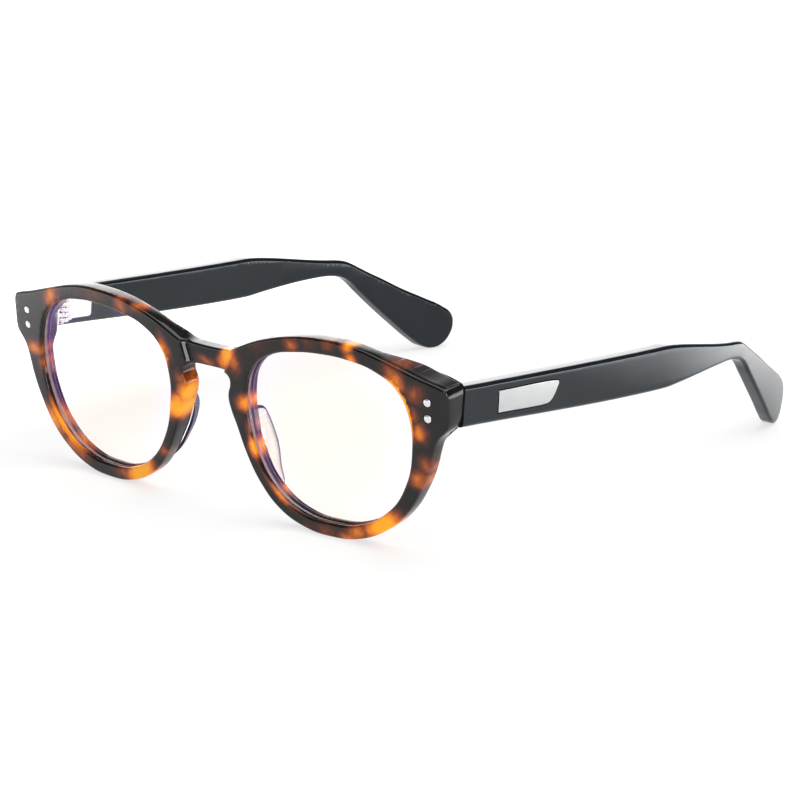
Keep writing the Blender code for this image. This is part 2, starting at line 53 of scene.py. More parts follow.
FRONT_TILT = math.radians(3.9)
TEMPLE_DROP = math.radians(4.7)
WRAP = 0.00111
RIM_DEPTH = 4.2
EDGE_ROUND = 0.6
BRIDGE_DEPTH = 5.2
BRIDGE_RECESS = 1.5
GAP = 0.3
MIDDLE = 71.95
GROOVE_MIDDLE = 2.0
LENS_BULGE = 1.0
SEAM = 5.2
HINGE_X = 59.8
HINGE_SETBACK = 3.5
HINGE_MIDDLE = 35.0
KNUCKLE_RADIUS = 1.6
KNUCKLE_HEIGHT = 0.96
KNUCKLES = 5
PIN_RADIUS = 0.55
RIVET_X = 61.5
RIVET_HEIGHTS = (35.3, 31.7)
RIVET_RADIUS = 0.92
TEMPLE_THICKNESS = 4.0
TEMPLE_SPREAD = 66.5

# Outlines are the points that a smooth curve passes through. A third entry marks a sharp corner.
FRONT_OUTLINE = [
    (0.0, 37.8), (4.4, 37.9), (5.7, 38.0), (6.9, 38.3), (8.6, 39.0), (11.2, 40.2), (14.4, 41.6),
    (18.5, 43.0), (23.2, 44.2), (28.8, 45.1), (34.3, 45.4), (39.7, 45.3), (45.0, 44.5),
    (50.0, 43.2), (55.0, 41.7), (60.0, 40.2), (64.9, 38.9), (65.9, 38.5), (66.4, 37.6),
    (66.5, 34.2), (66.4, 31.0), (66.1, 29.8), (65.2, 28.7), (64.0, 27.5), (63.0, 26.0),
    (62.2, 23.8), (61.0, 19.8), (58.8, 14.9), (54.8, 8.8), (49.1, 3.9), (42.2, 0.8),
    (34.7, -0.1), (27.1, 0.7), (20.1, 3.7), (14.8, 8.9), (11.1, 15.2), (8.7, 21.2),
    (7.2, 24.8), (6.6, 27.4), (6.8, 29.0), (7.3, 30.4), (7.2, 31.9), (6.3, 32.8), (4.4, 33.1),
    (0.0, 33.2),
]
LENS_OUTLINE = [
    (34.0, 41.9), (26.5, 41.2), (19.5, 39.5), (14.3, 35.8), (11.8, 29.5), (12.0, 22.5),
    (14.3, 14.6), (19.5, 7.7), (26.5, 4.0), (34.0, 3.1), (42.5, 4.2), (50.2, 8.7),
    (55.0, 15.6), (56.9, 23.5), (56.5, 31.0), (53.6, 36.8), (48.2, 40.1), (41.5, 41.6),
]
LENS_CENTRE = (34.3, 22.6)
TEMPLE_OUTLINE = [
    (4.2, 30.15, CORNER), (17.5, 30.05), (35.0, 29.8), (52.0, 29.65), (67.0, 29.75), (74.0, 29.9),
    (78.5, 30.1), (82.5, 30.6), (86.5, 31.1), (91.0, 31.65), (95.5, 32.15), (100.0, 32.55),
    (105.0, 32.85), (108.3, 32.7), (111.2, 32.0), (113.6, 30.7), (117.0, 27.8), (123.0, 22.8),
    (129.0, 18.0), (134.0, 14.1), (137.2, 12.1), (139.8, 11.6), (142.4, 12.5), (144.5, 15.0),
    (145.3, 18.0), (144.6, 20.8), (141.7, 23.0), (136.6, 25.3), (129.5, 28.3), (123.2, 31.3),
    (119.6, 32.9), (116.2, 34.5), (113.2, 35.9), (111.2, 36.6), (108.8, 36.95), (104.5, 37.25),
    (99.0, 37.8), (92.0, 38.65), (86.0, 39.35), (81.0, 39.8), (77.5, 39.95), (73.0, 39.85),
    (66.0, 39.7), (52.0, 39.5), (34.0, 39.35), (17.0, 39.25), (4.2, 39.2, CORNER),
]
INLAY_OUTLINE = [
    (16.8, 32.1, CORNER), (33.4, 32.1), (34.4, 32.4), (35.2, 33.0), (37.0, 35.8), (37.2, 36.5),
    (36.7, 36.9), (16.8, 36.9, CORNER),
]
PAD_RIDGE = [(10.3, 24.9), (10.0, 21.8), (11.1, 18.0), (12.7, 14.4), (14.5, 11.0), (17.4, 7.6)]
PAD_DEPTH = 4.3
PAD_FLARE = 0.27
PAD_HALF_WIDTH = 1.45
RIVET_SEAT_ROOM = 0.14
GROOVE_HALF_WIDTH = 0.7
CAMERA_AZIMUTH, CAMERA_ELEVATION, CAMERA_ROLL = (math.radians(a) for a in (40.63, 15.69, 0.14))
CAMERA_TARGET = Vector((0.0, -0.00723, 0.01151))
CAMERA_DISTANCE = 0.7981
CAMERA_LENS = 150.28


# ---- Places -------------------------------------------------------------------------------------


def step(t):
    t = min(1.0, max(0.0, t))
    return t * t * (3.0 - 2.0 * t)


def on_front(u, v, w):
    back = WRAP * u * u + w
    return Vector((
        u,
        back * math.cos(FRONT_TILT) - v * math.sin(FRONT_TILT) - MIDDLE,
        v * math.cos(FRONT_TILT) + back * math.sin(FRONT_TILT),
    )) * MM


def on_temple(x, s, h):
    return Vector((
        x,
        s * math.cos(TEMPLE_DROP) + h * math.sin(TEMPLE_DROP) - MIDDLE,
        h * math.cos(TEMPLE_DROP) - s * math.sin(TEMPLE_DROP),
    )) * MM


def seam_depth(u, v):
    both = FRONT_TILT + TEMPLE_DROP
    return (SEAM + v * math.sin(both)) / math.cos(both) - WRAP * u * u


def front_back(u, v):
    a = abs(u)
    depth = RIM_DEPTH + (BRIDGE_DEPTH - RIM_DEPTH) * step((14.0 - a) / 6.0)
    start = 46.5 + 8.7 * step((38.5 - v) / 4.5)
    end = step((a - start) / (57.9 - start)) * step((v - 25.5) / 4.5)
    return depth + (seam_depth(u, min(v, 38.0)) - depth) * end


def bridge_step(u, v):
    edge = 5.95 + (v - 32.5) * 0.30
    return BRIDGE_RECESS * step((edge - abs(u)) / 1.2)


def front_relief(u, v, w):
    recess = bridge_step(u, v) * max(0.0, 1.0 - w / 3.0)
    return w + recess + (front_back(u, v) - RIM_DEPTH) * min(1.0, max(0.0, (w - 2.8) / 0.8))


def temple_x(s):
    bent = max(0.0, s - 76.0)
    return TEMPLE_SPREAD + 0.0145 * s - 0.00285 * bent * bent


def temple_place(side):
    return lambda s, h, w: on_temple(side * (temple_x(s) - w), s, h)


def rivet_matrix(side, height):
    """At the face of the front, with +Z pointing out of it."""
    u = side * RIVET_X
    here = on_front(u, height, 0.0)
    across = on_front(u + 0.01, height, 0.0) - here
    up = on_front(u, height + 0.01, 0.0) - here
    out = up.cross(across).normalized()
    if out.y > 0.0:
        out = -out
    return Matrix.Translation(here) @ out.to_track_quat("Z", "Y").to_matrix().to_4x4()


def hinge_matrix(side):
    """From hinge axes, x outwards, y back, z along the pin, in millimetres, to the part."""
    place = on_temple(side * HINGE_X, SEAM + HINGE_SETBACK, HINGE_MIDDLE)
    back = Vector((0.0, math.cos(TEMPLE_DROP), -math.sin(TEMPLE_DROP)))
    up = Vector((0.0, math.sin(TEMPLE_DROP), math.cos(TEMPLE_DROP)))
    return Matrix((
        (side * MM, 0.0, 0.0, place.x),
        (0.0, back.y * MM, up.y * MM, place.y),
        (0.0, back.z * MM, up.z * MM, place.z),
        (0.0, 0.0, 0.0, 1.0),
    ))


# ---- Modelling helpers --------------------------------------------------------------------------


def face_outwards(work):
    bmesh.ops.recalc_face_normals(work, faces=work.faces)
    if work.calc_volume(signed=True) < 0.0:
        bmesh.ops.reverse_faces(work, faces=work.faces)


def turn_outwards(obj):
    work = bmesh.new()
    work.from_mesh(obj.data)
    face_outwards(work)
    work.to_mesh(obj.data)
    work.free()


def add_object(name, mesh):
    obj = bpy.data.objects.new(name, mesh)
    scene.collection.objects.link(obj)
    return obj


def baked(obj, weld=1e-6):
    """A plain mesh object from an object with its modifiers."""
    bpy.context.view_layer.update()
    graph = bpy.context.evaluated_depsgraph_get()
    mesh = bpy.data.meshes.new_from_object(obj.evaluated_get(graph))
    name = obj.name
    matrix = obj.matrix_world.copy()
    bpy.data.objects.remove(obj, do_unlink=True)
    work = bmesh.new()
    work.from_mesh(mesh)
    work.transform(matrix)
    bmesh.ops.remove_doubles(work, verts=work.verts, dist=weld)
    face_outwards(work)
    work.to_mesh(mesh)
    work.free()
    return add_object(name, mesh)


def drawn_curve(name, loops, segments):
    curve = bpy.data.curves.new(name, "CURVE")
    curve.dimensions = "2D"
    for points in loops:
        spline = curve.splines.new("BEZIER")
        spline.bezier_points.add(len(points) - 1)
        spline.use_cyclic_u = True
        spline.resolution_u = segments
        for knot, (x, y, *corner) in zip(spline.bezier_points, points):
            knot.co = (x * MM, y * MM, 0.0)
            knot.handle_left_type = "VECTOR" if corner else "AUTO"
            knot.handle_right_type = "VECTOR" if corner else "AUTO"
    return curve


def flat_solid(name, loops, front, back, rounding, grow, segments=6, rounds=3):
    """A flat outline with depth and rounded edges: loops in XY, z from -front to -back."""
    curve = drawn_curve(name, loops, segments)
    curve.fill_mode = "BOTH"
    curve.extrude = ((back - front) / 2.0 - rounding) * MM
    curve.bevel_depth = rounding * MM
    curve.bevel_resolution = rounds
    curve.offset = (grow - rounding) * MM
    obj = add_object(name, curve)
    obj.location = (0.0, 0.0, -(front + back) / 2.0 * MM)
    return baked(obj)


def combine(target, tool, operation):
    modifier = target.modifiers.new("boolean", "BOOLEAN")
    modifier.operation = operation
    modifier.solver = "EXACT"
    modifier.object = tool
    result = baked(target)
    bpy.data.objects.remove(tool, do_unlink=True)
    return result


def slice_mesh(obj, cuts):
    """Adds an edge wherever a plane crosses the mesh. cuts: (point, normal), millimetres."""
    work = bmesh.new()
    work.from_mesh(obj.data)
    bmesh.ops.dissolve_limit(
        work, angle_limit=math.radians(0.05), verts=work.verts, edges=work.edges
    )
    for point, normal in cuts:
        bmesh.ops.bisect_plane(
            work, geom=work.verts[:] + work.edges[:] + work.faces[:], dist=1e-6,
            plane_co=Vector(point) * MM, plane_no=Vector(normal),
        )
    bmesh.ops.triangulate(work, faces=work.faces)
    work.to_mesh(obj.data)
    work.free()


def spread(first, last, spacing):
    count = max(1, round((last - first) / spacing))
    return [first + (last - first) * i / count for i in range(count + 1)]


def reshape(obj, place):
    work = bmesh.new()
    work.from_mesh(obj.data)
    for vertex in work.verts:
        x, y, z = vertex.co / MM
        vertex.co = place(x, y, -z)
    face_outwards(work)
    work.to_mesh(obj.data)
    work.free()
    return obj


def turned(name, profile, matrix):
    """A turned piece: the profile (radius, height) runs from the top down its outer side."""
    mesh = bpy.data.meshes.new(name)
    points = [(r, 0.0, z) for r, z in profile]
    mesh.from_pydata(points, [(i, i + 1) for i in range(len(points) - 1)], [])
    obj = add_object(name, mesh)
    screw = obj.modifiers.new("screw", "SCREW")
    screw.axis = "Z"
    screw.angle = math.tau
    screw.steps = TURNED_SEGMENTS
    screw.render_steps = TURNED_SEGMENTS
    screw.use_merge_vertices = True
    screw.merge_threshold = 1e-4
    obj = baked(obj, weld=1e-4)
    obj.data.transform(matrix)
    return obj


def box(name, size, centre):
    mesh = bpy.data.meshes.new(name)
    work = bmesh.new()
    bmesh.ops.create_cube(work, size=1.0)
    bmesh.ops.scale(work, vec=Vector(size), verts=work.verts)
    bmesh.ops.translate(work, vec=Vector(centre), verts=work.verts)
    work.to_mesh(mesh)
    work.free()
    return add_object(name, mesh)


def cylinder(name, radius, low, high):
    mesh = bpy.data.meshes.new(name)
    work = bmesh.new()
    bmesh.ops.create_cone(
        work, cap_ends=True, segments=TURNED_SEGMENTS, radius1=radius, radius2=radius, depth=high - low
    )
    bmesh.ops.translate(work, vec=Vector((0.0, 0.0, (low + high) / 2.0)), verts=work.verts)
    work.to_mesh(mesh)
    work.free()
    return add_object(name, mesh)


def finish(obj, body, nodes, material, sharp=32.0):
    """Material, shading, body and the CAD nodes that the piece stands for."""
    if not obj.data.materials:
        obj.data.materials.append(material)
    obj.data.shade_smooth()
    obj.data.set_sharp_from_angle(angle=math.radians(sharp))
    normals = obj.modifiers.new("normals", "WEIGHTED_NORMAL")
    normals.keep_sharp = True
    normals.weight = 60
    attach(obj, body)
    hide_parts(*nodes)
    return obj


def mirrored_loop(points):
    return [(-x, y) for x, y in reversed(points)]


def side_name(side):
    return "left" if side > 0 else "right"


# ---- Materials ----------------------------------------------------------------------------------


class Nodes:
    """Short names for building a node tree."""

    def __init__(self, name):
        self.material = bpy.data.materials.new(name)
        self.material.use_nodes = True
        self.tree = self.material.node_tree
        self.shader = self.tree.nodes["Principled BSDF"]
        self.output = self.tree.nodes["Material Output"]

    def add(self, kind, **settings):
        node = self.tree.nodes.new("ShaderNode" + kind)
        for key, value in settings.items():
            setattr(node, key, value)
        return node

    def link(self, source, target):
        self.tree.links.new(source, target)

    def put(self, node, **values):
        for key, value in values.items():
            socket = node.inputs[key.replace("_", " ")]
            if hasattr(value, "is_output"):
                self.link(value, socket)
            else:
                socket.default_value = value
        return node

    def math(self, operation, a, b=None, clamp=False):
        node = self.add("Math", operation=operation, use_clamp=clamp)
        for socket, value in zip(node.inputs, (a, b)):
            if value is None:
                continue
            if hasattr(value, "is_output"):
                self.link(value, socket)
            else:
                socket.default_value = value
        return node.outputs[0]

    def ramp(self, factor, stops):
        node = self.add("ValToRGB")
        node.color_ramp.interpolation = "LINEAR"
        stops_left = node.color_ramp.elements
        while len(stops_left) > 1:
            stops_left.remove(stops_left[-1])
        stops_left[0].position = stops[0][0]
        stops_left[0].color = (*stops[0][1], 1.0)
        for position, colour in stops[1:]:
            stops_left.new(position).color = (*colour, 1.0)
        self.link(factor, node.inputs[0])
        return node.outputs[0]

    def noise(self, vector, scale, detail=2.0, roughness=0.5, colour=False):
        node = self.add("TexNoise")
        self.put(node, Vector=vector, Scale=scale, Detail=detail, Roughness=roughness)
        return node.outputs[1 if colour else 0]

    def millimetres(self, rotation=0.0, location=(0.0, 0.0, 0.0), scale=(1.0, 1.0, 1.0)):
        """The object's own coordinates in millimetres, turned about x."""
        place = self.add("TexCoord").outputs["Object"]
        mapping = self.add("Mapping", vector_type="POINT")
        mapping.inputs["Location"].default_value = location
        mapping.inputs["Rotation"].default_value = (rotation, 0.0, 0.0)
        mapping.inputs["Scale"].default_value = [1000.0 * k for k in scale]
        self.link(place, mapping.inputs[0])
        return mapping.outputs[0]

    def cloud(self, place, u, v, long, wide, turn, strength):
        """A soft ellipse on the front that fades out from its middle, and goes through the sheet."""
        mapping = self.add("Mapping", vector_type="TEXTURE")
        mapping.inputs["Location"].default_value = (u, WRAP * u * u + 2.2, v)
        mapping.inputs["Rotation"].default_value = (0.0, -math.radians(turn), 0.0)
        mapping.inputs["Scale"].default_value = (long, 10.0, wide)
        self.link(place, mapping.inputs[0])
        ball = self.add("TexGradient", gradient_type="SPHERICAL")
        self.link(mapping.outputs[0], ball.inputs[0])
        return self.math("MULTIPLY", ball.outputs["Fac"], strength)

    def range(self, value, low, high, to_low, to_high, smooth=False):
        node = self.add("MapRange", interpolation_type="SMOOTHSTEP" if smooth else "LINEAR")
        self.link(value, node.inputs["Value"])
        for key, number in (("From Min", low), ("From Max", high), ("To Min", to_low), ("To Max", to_high)):
            node.inputs[key].default_value = number
        return node.outputs["Result"]

    def bump(self, height, strength, distance):
        node = self.add("Bump")
        node.inputs["Strength"].default_value = strength
        node.inputs["Distance"].default_value = distance
        self.link(height, node.inputs["Height"])
        return node.outputs[0]


# Clouds of the tortoise pattern: u, v, half length, half width, turn in degrees, strength.
CLOUDS = [
    # bridge
    (6.4, 37.0, 6.6, 4.2, 55.0, 1.42), (9.2, 36.0, 3.6, 4.6, 0.0, 0.80),
    (-0.6, 34.2, 5.4, 2.2, 0.0, 0.62),
    # near rim, clockwise from the bridge
    (26.2, 43.0, 3.8, 3.2, 0.0, 0.72), (30.6, 43.6, 4.4, 3.0, 0.0, 0.38),
    (36.4, 44.6, 4.0, 3.0, 0.0, 0.54), (41.2, 45.2, 3.0, 3.8, 0.0, 1.02),
    (42.2, 42.4, 3.0, 2.8, 0.0, 0.98),
    (53.4, 39.6, 6.8, 3.6, -40.0, 0.88), (58.4, 36.6, 5.0, 4.4, -30.0, 0.62),
    (57.8, 31.6, 3.6, 3.6, 0.0, 0.56), (59.4, 28.2, 3.6, 3.6, 0.0, 0.96),
    (57.8, 26.0, 2.6, 3.0, 0.0, 0.55),
    (60.2, 20.6, 4.6, 4.0, 30.0, 0.62), (58.6, 17.6, 4.4, 4.2, 0.0, 0.80),
    (48.4, 5.4, 8.8, 4.6, 30.0, 1.55), (41.4, 2.4, 6.6, 3.4, 12.0, 0.86),
    (38.8, 0.8, 4.4, 3.0, 5.0, 0.82), (33.2, 1.4, 6.0, 3.4, 0.0, 0.56),
    (28.6, 1.6, 4.0, 2.6, 0.0, 0.34),
    (20.4, 8.0, 4.6, 2.2, -38.0, 0.92), (13.5, 16.9, 4.4, 2.4, -65.0, 1.06),
    (12.7, 21.4, 3.6, 2.0, -78.0, 0.74),
    (10.9, 27.0, 3.5, 3.1, 0.0, 1.00), (17.0, 41.4, 9.0, 4.6, 22.0, 0.30),
    (9.0, 23.0, 3.0, 3.0, 0.0, 0.24),
    # far rim
    (-51.8, 40.6, 6.0, 4.4, 35.0, 0.82), (-59.6, 26.5, 6.0, 3.6, 0.0, 0.86),
    (-57.0, 23.6, 3.6, 6.0, 0.0, 0.60),
    (-53.4, 9.8, 8.6, 4.4, -45.0, 1.02), (-46.4, 5.0, 9.0, 4.2, -28.0, 0.80),
    (-23.2, 4.0, 8.4, 4.6, 22.0, 1.50), (-29.6, 2.6, 5.4, 3.4, 0.0, 0.62),
    (-9.8, 22.2, 7.0, 4.8, 12.0, 1.36), (-6.0, 24.6, 4.8, 7.6, 0.0, 1.30),
    (-7.6, 29.4, 4.6, 3.8, 0.0, 0.62),
    (-12.6, 35.8, 3.0, 5.6, 30.0, 0.84), (-15.2, 10.4, 3.4, 2.8, 0.0, 0.62),
    (-35.6, 44.0, 10.0, 3.0, 2.0, 0.44), (-26.4, 43.0, 4.6, 3.8, 10.0, 0.72),
    (-20.4, 44.2, 5.0, 3.2, 25.0, 0.74),
]
# Clouds of painted glow, for light through the thin edges of the lens openings: u, v, half length, half
# width, turn in degrees, strength.
PAINTED_LIP_GLOWS = [
    (55.4, 34.6, 12.0, 5.0, -64.0, 1.50), (-12.4, 35.0, 9.0, 4.0, 68.0, 1.20),
    (21.0, 8.6, 9.0, 4.0, -36.0, 0.90),
    (-50.0, 9.0, 14.0, 5.0, -42.0, 0.90), (13.2, 18.0, 8.0, 3.0, -75.0, 0.45),
]
TORTOISE = [
    (0.00, (0.0050, 0.0046, 0.0046)), (0.14, (0.0120, 0.0072, 0.0060)),
    (0.28, (0.0420, 0.0125, 0.0070)), (0.42, (0.1450, 0.0290, 0.0085)),
    (0.58, (0.4200, 0.0900, 0.0100)), (0.76, (0.8400, 0.2200, 0.0060)),
    (0.92, (1.0000, 0.3400, 0.0040)), (1.00, (1.0000, 0.4000, 0.0060)),
]


def tortoise():
    """Tortoise acetate: soft amber and rust clouds in near-black brown, polished."""
    n = Nodes("tortoise_acetate")
    across = n.millimetres(
        rotation=-FRONT_TILT,
        location=(0.0, MIDDLE * math.cos(FRONT_TILT), -MIDDLE * math.sin(FRONT_TILT)),
    )
    place = across
    for scale, reach in ((0.16, 2.4), (0.62, 0.8)):
        wander = n.add("VectorMath", operation="SUBTRACT")
        n.link(n.noise(across, scale, 2.0, colour=True), wander.inputs[0])
        wander.inputs[1].default_value = (0.5, 0.5, 0.5)
        moved = n.add("VectorMath", operation="MULTIPLY_ADD")
        n.link(wander.outputs[0], moved.inputs[0])
        moved.inputs[1].default_value = (reach, reach, reach)
        n.link(place, moved.inputs[2])
        place = moved.outputs[0]
    total = None
    for u, v, long, wide, turn, strength in CLOUDS:
        cloud = n.cloud(place, u, v, long, wide, turn, strength)
        total = cloud if total is None else n.math("MAXIMUM", total, cloud)
    mottle = n.range(n.noise(across, 0.42, 3.0, 0.6), 0.35, 0.75, -0.03, 0.10)
    # Painted glow: light that has come through the thin edge of a lens opening warms it, and is painted into
    # the colour there.
    lip_glow_mask = n.add("Attribute", attribute_name="lip_glow_mask").outputs["Fac"]
    glow = None
    for u, v, long, wide, turn, strength in PAINTED_LIP_GLOWS:
        cloud = n.cloud(place, u, v, long, wide, turn, strength)
        glow = cloud if glow is None else n.math("MAXIMUM", glow, cloud)
    glow = n.math("ADD", n.math("MULTIPLY", total, 0.35), n.math("ADD", glow, 0.06))
    field = n.math("ADD", n.math("MAXIMUM", total, n.math("MULTIPLY", lip_glow_mask, glow)), mottle)
    field = n.math("ADD", field, 0.0, clamp=True)
    colour = n.ramp(field, TORTOISE)
    rough = n.range(n.noise(across, 1.3, 4.0, 0.6), 0.3, 0.7, 0.07, 0.13)
    wave = n.bump(n.noise(across, 0.22, 1.0), 0.25, 0.00006)
    n.put(n.shader, Base_Color=colour, Roughness=rough, Normal=wave, IOR=1.40)
    return n.material


def black_acetate():
    """Polished black acetate, with the faint waviness of hand polishing."""
    n = Nodes("black_acetate")
    across = n.millimetres()
    cloud = n.noise(across, 0.12, 3.0, 0.6)
    colour = n.ramp(cloud, [(0.3, (0.0050, 0.0065, 0.0085)), (0.7, (0.0080, 0.0100, 0.0130))])
    rough = n.range(n.noise(across, 1.1, 4.0, 0.65), 0.3, 0.7, 0.06, 0.12)
    wave = n.bump(n.noise(across, 0.10, 1.0), 0.3, 0.00010)
    n.put(n.shader, Base_Color=colour, Roughness=rough, Normal=wave, IOR=1.40)
    n.shader.inputs["Specular Tint"].default_value = (0.84, 0.93, 1.0, 1.0)
    return n.material


def bright_metal(name, low, high, base, grain):
    """Polished or satin nickel: fine scratches in all directions and slight tone variation."""
    n = Nodes(name)
    across = n.millimetres(scale=grain)
    fine = n.noise(across, 5.0, 5.0, 0.7)
    tone = n.ramp(n.noise(n.millimetres(), 0.5, 3.0), [
        (0.3, tuple(k * 0.93 for k in base)), (0.7, base),
    ])
    rough = n.range(fine, 0.3, 0.7, low, high)
    n.put(n.shader, Base_Color=tone, Roughness=rough, Normal=n.bump(fine, 0.12, 0.00001))
    n.shader.inputs["Metallic"].default_value = 1.0
    return n.material


def lens_film():
    """A nearly clear lens with a warm filter tint, and the violet reflection of its anti-glare film, painted
    stronger towards its ends.
    """
    n = Nodes("lens_film")
    n.tree.nodes.remove(n.shader)
    across = n.millimetres()
    painted_reflection_mask = n.add("Attribute", attribute_name="painted_reflection_mask").outputs["Fac"]
    smear = n.range(n.noise(across, 0.25, 3.0), 0.3, 0.7, 0.9, 1.1)
    clear = n.add("BsdfTransparent")
    clear.inputs["Color"].default_value = (1.0, 0.974, 0.946, 1.0)
    gloss = n.add("BsdfGlossy")
    gloss.inputs["Roughness"].default_value = 0.02
    # Painted reflection: the violet gloss gets its strength from the mask, strongest towards the lens's
    # ends, and not from where the lamps are.
    violet = n.ramp(n.math("MULTIPLY", painted_reflection_mask, smear), [
        (0.0, (0.008, 0.010, 0.009)), (0.5, (0.022, 0.014, 0.040)), (1.0, (0.050, 0.022, 0.100)),
    ])
    n.link(violet, gloss.inputs["Color"])
    both = n.add("AddShader")
    n.link(clear.outputs[0], both.inputs[0])
    n.link(gloss.outputs[0], both.inputs[1])
    n.link(both.outputs[0], n.output.inputs["Surface"])
    return n.material


def clear_acetate():
    """Clear acetate that bends light, and lets the lamps through."""
    n = Nodes("clear_acetate")
    n.tree.nodes.remove(n.shader)
    across = n.millimetres()
    glass = n.add("BsdfGlass")
    glass.inputs["IOR"].default_value = 1.49
    tint = n.ramp(n.noise(across, 0.3, 3.0), [(0.3, (1.0, 0.97, 0.94)), (0.7, (1.0, 0.985, 0.965))])
    n.link(tint, glass.inputs["Color"])
    n.link(n.range(n.noise(across, 1.5, 4.0), 0.3, 0.7, 0.02, 0.06), glass.inputs["Roughness"])
    # Seen edge on, a long way of violet-tinted acetate lies behind the surface: the dark violet diffuse
    # mixed in by facing is partly that tint and partly a painted dark outline.
    edge = n.add("LayerWeight")
    edge.inputs["Blend"].default_value = 0.5
    rim = n.range(edge.outputs["Facing"], 0.20, 0.60, 0.0, 0.85, smooth=True)
    deep = n.add("BsdfDiffuse")
    n.link(n.ramp(n.noise(across, 0.4), [(0.3, (0.050, 0.038, 0.105)), (0.7, (0.070, 0.052, 0.135))]),
           deep.inputs["Color"])
    body = n.add("MixShader")
    n.link(rim, body.inputs[0])
    n.link(glass.outputs[0], body.inputs[1])
    n.link(deep.outputs[0], body.inputs[2])
    clear = n.add("BsdfTransparent")
    clear.inputs["Color"].default_value = (0.98, 0.96, 0.94, 1.0)
    path = n.add("LightPath")
    mix = n.add("MixShader")
    n.link(path.outputs["Is Shadow Ray"], mix.inputs[0])
    n.link(body.outputs[0], mix.inputs[1])
    n.link(clear.outputs[0], mix.inputs[2])
    n.link(mix.outputs[0], n.output.inputs["Surface"])
    return n.material


def ground_edge():
    """The finely ground edge of a lens."""
    n = Nodes("ground_edge")
    across = n.millimetres()
    tone = n.ramp(n.noise(across, 0.8, 3.0), [(0.3, (0.22, 0.17, 0.18)), (0.7, (0.36, 0.29, 0.30))])
    n.put(n.shader, Base_Color=tone, Roughness=n.range(n.noise(across, 3.0), 0.3, 0.7, 0.3, 0.5))
    return n.material


def floor_material():
    n = Nodes("pale_floor")
    grain = n.noise(n.millimetres(), 0.02, 3.0)
    n.put(n.shader, Base_Color=n.ramp(grain, [(0.3, (0.325, 0.325, 0.325)), (0.7, (0.335, 0.335, 0.335))]))
    # The floor glows: an even glow lightens the shadows on it, and a brighter glow behind and to the left
    # lights the frame and shows in its reflections.
    split = n.add("SeparateXYZ")
    n.link(n.millimetres(), split.inputs[0])
    behind = n.range(split.outputs[1], 60.0, 145.0, 0.0, 4.6, smooth=True)
    behind = n.math("MULTIPLY", behind, n.range(split.outputs[0], 30.0, 100.0, 0.0, 1.0, smooth=True))
    left = n.range(split.outputs[0], -70.0, -230.0, 0.66, 2.4, smooth=True)
    n.link(n.math("ADD", behind, left), n.shader.inputs["Emission Strength"])
    n.shader.inputs["Emission Color"].default_value = (1.0, 1.0, 1.0, 1.0)
    n.shader.inputs["Roughness"].default_value = 0.9
    n.shader.inputs["Specular IOR Level"].default_value = 0.0
    return n.material


LOOK = {
    "tortoise": tortoise(),
    "black": black_acetate(),
    "lens": lens_film(),
    "pad": clear_acetate(),
    "bright": bright_metal("bright_metal", 0.28, 0.42, (0.80, 0.80, 0.82), (1.0, 1.0, 1.0)),
    "plate": bright_metal("plate_metal", 0.20, 0.26, (0.52, 0.53, 0.53), (1.0, 0.12, 1.0)),
    "lens_edge": ground_edge(),
    "satin": bright_metal("satin_metal", 0.22, 0.36, (0.86, 0.86, 0.87), (1.0, 0.15, 1.0)),
}


# ---- The front ----------------------------------------------------------------------------------


def lens_loop():
    """The lens's outline as evenly curved points about its centre."""
    curve = drawn_curve("loop", [LENS_OUTLINE], 12)
    obj = add_object("loop", curve)
    bpy.context.view_layer.update()
    graph = bpy.context.evaluated_depsgraph_get()
    mesh = bpy.data.meshes.new_from_object(obj.evaluated_get(graph))
    points = [(v.co.x / MM - LENS_CENTRE[0], v.co.y / MM - LENS_CENTRE[1]) for v in mesh.vertices]
    bpy.data.objects.remove(obj, do_unlink=True)
    return points


LENS_LOOP = lens_loop()


def polish(front):
    """On the flat drawing: marks the front edges of the lens openings, where a glow of light is painted, and
    crowns the outer side.
    """
    tree = KDTree(2 * len(LENS_LOOP))
    for i, (x, y) in enumerate(LENS_LOOP):
        tree.insert((x + LENS_CENTRE[0], y + LENS_CENTRE[1], 0.0), 2 * i)
        tree.insert((-x - LENS_CENTRE[0], y + LENS_CENTRE[1], 0.0), 2 * i + 1)
    tree.balance()
    marks = front.data.attributes.new("lip_glow_mask", "FLOAT", "POINT")
    for vertex, mark in zip(front.data.vertices, marks.data):
        x, y, z = vertex.co / MM
        far = tree.find((x, y, 0.0))[2]
        mark.value = step((1.15 - far) / 0.55) * step((1.0 + z) / 0.6)
    # Polishing has eased the outer side in towards the back. The end pieces meet the temples squarely.
    normals = [vertex.normal.copy() for vertex in front.data.vertices]
    for vertex, normal in zip(front.data.vertices, normals):
        x, y, z = vertex.co / MM
        flat = Vector((normal.x, normal.y, 0.0))
        if flat.length > 0.05 and tree.find((x, y, 0.0))[2] > 1.6:
            ease = 0.22 * max(0.0, (-z - 1.0) / 3.2) ** 2 if flat.length > 0.3 else 0.0
            if -z > RIM_DEPTH - EDGE_ROUND:
                deep = -z - RIM_DEPTH + EDGE_ROUND
                square = 0.85 * step((y - 25.0) / 3.0) * step((abs(x) - 56.5) / 6.5)
                ease -= square * (EDGE_ROUND - math.sqrt(max(0.0, EDGE_ROUND ** 2 - deep ** 2)))
            vertex.co -= flat.normalized() * ease * MM


